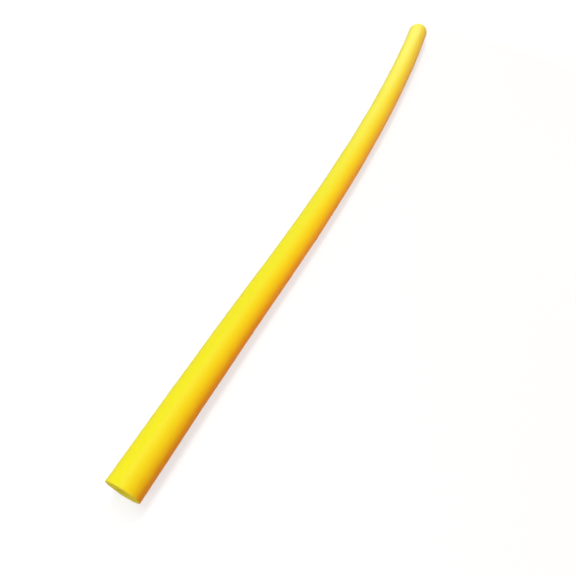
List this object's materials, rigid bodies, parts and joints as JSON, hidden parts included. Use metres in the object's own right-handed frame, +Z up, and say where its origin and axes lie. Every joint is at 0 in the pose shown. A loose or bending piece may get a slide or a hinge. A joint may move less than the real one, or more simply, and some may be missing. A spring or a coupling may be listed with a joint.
{
  "type": "pool noodle",
  "caption": "Long flexible foam tube with a round bore, for floating and playing in a swimming pool. It bends all along its length.",
  "frame": {"origin": "on the floor, at the centre of the bottom of the noodle's bounding box as it lies on its side", "axes": "+X runs along the noodle from its near cut end to its far cut end, +Z is up from the floor, +Y is to the left"},
  "size_m": [1.6018, 0.0962, 0.0576],
  "materials": {
    "yellow_foam": "matte closed-cell polyethylene foam, bright yellow"
  },
  "bodies": {
    "foam_01": {"foam_01": "yellow_foam"},
    "foam_02": {"foam_02": "yellow_foam"},
    "foam_03": {"foam_03": "yellow_foam"},
    "foam_04": {"foam_04": "yellow_foam"},
    "foam_05": {"foam_05": "yellow_foam"},
    "foam_06": {"foam_06": "yellow_foam"},
    "foam_07": {"foam_07": "yellow_foam"},
    "foam_08": {"foam_08": "yellow_foam"},
    "foam_09": {"foam_09": "yellow_foam"},
    "foam_10": {"foam_10": "yellow_foam"},
    "foam_11": {"foam_11": "yellow_foam"},
    "foam_12": {"foam_12": "yellow_foam"},
    "foam_13": {"foam_13": "yellow_foam"},
    "foam_14": {"foam_14": "yellow_foam"},
    "foam_15": {"foam_15": "yellow_foam"},
    "foam_16": {"foam_16": "yellow_foam"},
    "foam_17": {"foam_17": "yellow_foam"},
    "foam_18": {"foam_18": "yellow_foam"},
    "foam_19": {"foam_19": "yellow_foam"},
    "foam_20": {"foam_20": "yellow_foam"},
    "foam_21": {"foam_21": "yellow_foam"},
    "foam_22": {"foam_22": "yellow_foam"},
    "foam_23": {"foam_23": "yellow_foam"},
    "foam_24": {"foam_24": "yellow_foam"}
  },
  "joints": [
    {"name": "side_bend_01", "type": "hinge", "parent": "foam_02", "child": "foam_01", "pos_m": [-0.71662, 0.00818, 0.02882], "axis": [-0.0002, 0, -1], "range_deg": [-18, 18], "stiffness_Nm_per_rad": 7.5},
    {"name": "lift_bend_02", "type": "hinge", "parent": "foam_03", "child": "foam_02", "pos_m": [-0.65, 0.00579, 0.02882], "axis": [0.0397, 0.9992, 0], "range_deg": [-18, 18], "stiffness_Nm_per_rad": 7.5},
    {"name": "side_bend_03", "type": "hinge", "parent": "foam_04", "child": "foam_03", "pos_m": [-0.58338, 0.00314, 0.02882], "axis": [-0.0002, 0, -1], "range_deg": [-18, 18], "stiffness_Nm_per_rad": 7.5},
    {"name": "lift_bend_04", "type": "hinge", "parent": "foam_05", "child": "foam_04", "pos_m": [-0.51678, 0.00025, 0.02882], "axis": [0.0472, 0.9989, 0], "range_deg": [-18, 18], "stiffness_Nm_per_rad": 7.5},
    {"name": "side_bend_05", "type": "hinge", "parent": "foam_06", "child": "foam_05", "pos_m": [-0.45019, -0.0029, 0.02882], "axis": [-0.0002, 0, -1], "range_deg": [-18, 18], "stiffness_Nm_per_rad": 7.5},
    {"name": "lift_bend_06", "type": "hinge", "parent": "foam_07", "child": "foam_06", "pos_m": [-0.38361, -0.0063, 0.02882], "axis": [0.0548, 0.9985, 0], "range_deg": [-18, 18], "stiffness_Nm_per_rad": 7.5},
    {"name": "side_bend_07", "type": "hinge", "parent": "foam_08", "child": "foam_07", "pos_m": [-0.31704, -0.00996, 0.02882], "axis": [-0.0002, 0, -1], "range_deg": [-18, 18], "stiffness_Nm_per_rad": 7.5},
    {"name": "lift_bend_08", "type": "hinge", "parent": "foam_09", "child": "foam_08", "pos_m": [-0.25044, -0.013, 0.02882], "axis": [0.0365, 0.9993, 0], "range_deg": [-18, 18], "stiffness_Nm_per_rad": 7.5},
    {"name": "side_bend_09", "type": "hinge", "parent": "foam_10", "child": "foam_09", "pos_m": [-0.18382, -0.01544, 0.02882], "axis": [-0.0002, 0, -1], "range_deg": [-18, 18], "stiffness_Nm_per_rad": 7.5},
    {"name": "lift_bend_10", "type": "hinge", "parent": "foam_11", "child": "foam_10", "pos_m": [-0.11718, -0.01727, 0.02882], "axis": [0.0183, 0.9998, 0], "range_deg": [-18, 18], "stiffness_Nm_per_rad": 7.5},
    {"name": "side_bend_11", "type": "hinge", "parent": "foam_12", "child": "foam_11", "pos_m": [-0.05052, -0.01848, 0.02882], "axis": [-0.0002, 0, -1], "range_deg": [-18, 18], "stiffness_Nm_per_rad": 7.5},
    {"name": "lift_bend_12", "type": "hinge", "parent": "foam_13", "child": "foam_12", "pos_m": [0.01614, -0.01909, 0.02882], "axis": [0, 1, 0], "range_deg": [-18, 18], "stiffness_Nm_per_rad": 7.5},
    {"name": "side_bend_13", "type": "hinge", "parent": "foam_13", "child": "foam_14", "pos_m": [0.08281, -0.01909, 0.02882], "axis": [0.0002, 0, 1], "range_deg": [-18, 18], "stiffness_Nm_per_rad": 7.5},
    {"name": "lift_bend_14", "type": "hinge", "parent": "foam_14", "child": "foam_15", "pos_m": [0.14947, -0.01848, 0.02882], "axis": [0.0183, -0.9998, 0], "range_deg": [-18, 18], "stiffness_Nm_per_rad": 7.5},
    {"name": "side_bend_15", "type": "hinge", "parent": "foam_15", "child": "foam_16", "pos_m": [0.21613, -0.01727, 0.02882], "axis": [0.0002, 0, 1], "range_deg": [-18, 18], "stiffness_Nm_per_rad": 7.5},
    {"name": "lift_bend_16", "type": "hinge", "parent": "foam_16", "child": "foam_17", "pos_m": [0.28277, -0.01544, 0.02882], "axis": [0.0365, -0.9993, 0], "range_deg": [-18, 18], "stiffness_Nm_per_rad": 7.5},
    {"name": "side_bend_17", "type": "hinge", "parent": "foam_17", "child": "foam_18", "pos_m": [0.34939, -0.013, 0.02882], "axis": [0.0002, 0, 1], "range_deg": [-18, 18], "stiffness_Nm_per_rad": 7.5},
    {"name": "lift_bend_18", "type": "hinge", "parent": "foam_18", "child": "foam_19", "pos_m": [0.41599, -0.00996, 0.02882], "axis": [0.0548, -0.9985, 0], "range_deg": [-18, 18], "stiffness_Nm_per_rad": 7.5},
    {"name": "side_bend_19", "type": "hinge", "parent": "foam_19", "child": "foam_20", "pos_m": [0.48256, -0.0063, 0.02882], "axis": [0.0002, 0, 1], "range_deg": [-18, 18], "stiffness_Nm_per_rad": 7.5},
    {"name": "lift_bend_20", "type": "hinge", "parent": "foam_20", "child": "foam_21", "pos_m": [0.54909, -0.00204, 0.02882], "axis": [0.073, -0.9973, 0], "range_deg": [-18, 18], "stiffness_Nm_per_rad": 7.5},
    {"name": "side_bend_21", "type": "hinge", "parent": "foam_21", "child": "foam_22", "pos_m": [0.61557, 0.00282, 0.02882], "axis": [0.0002, 0, 1], "range_deg": [-18, 18], "stiffness_Nm_per_rad": 7.5},
    {"name": "lift_bend_22", "type": "hinge", "parent": "foam_22", "child": "foam_23", "pos_m": [0.68202, 0.0083, 0.02882], "axis": [0.0912, -0.9958, 0], "range_deg": [-18, 18], "stiffness_Nm_per_rad": 7.5},
    {"name": "side_bend_23", "type": "hinge", "parent": "foam_23", "child": "foam_24", "pos_m": [0.7484, 0.01438, 0.02882], "axis": [0.0002, 0, 1], "range_deg": [-18, 18], "stiffness_Nm_per_rad": 7.5}
  ]
}
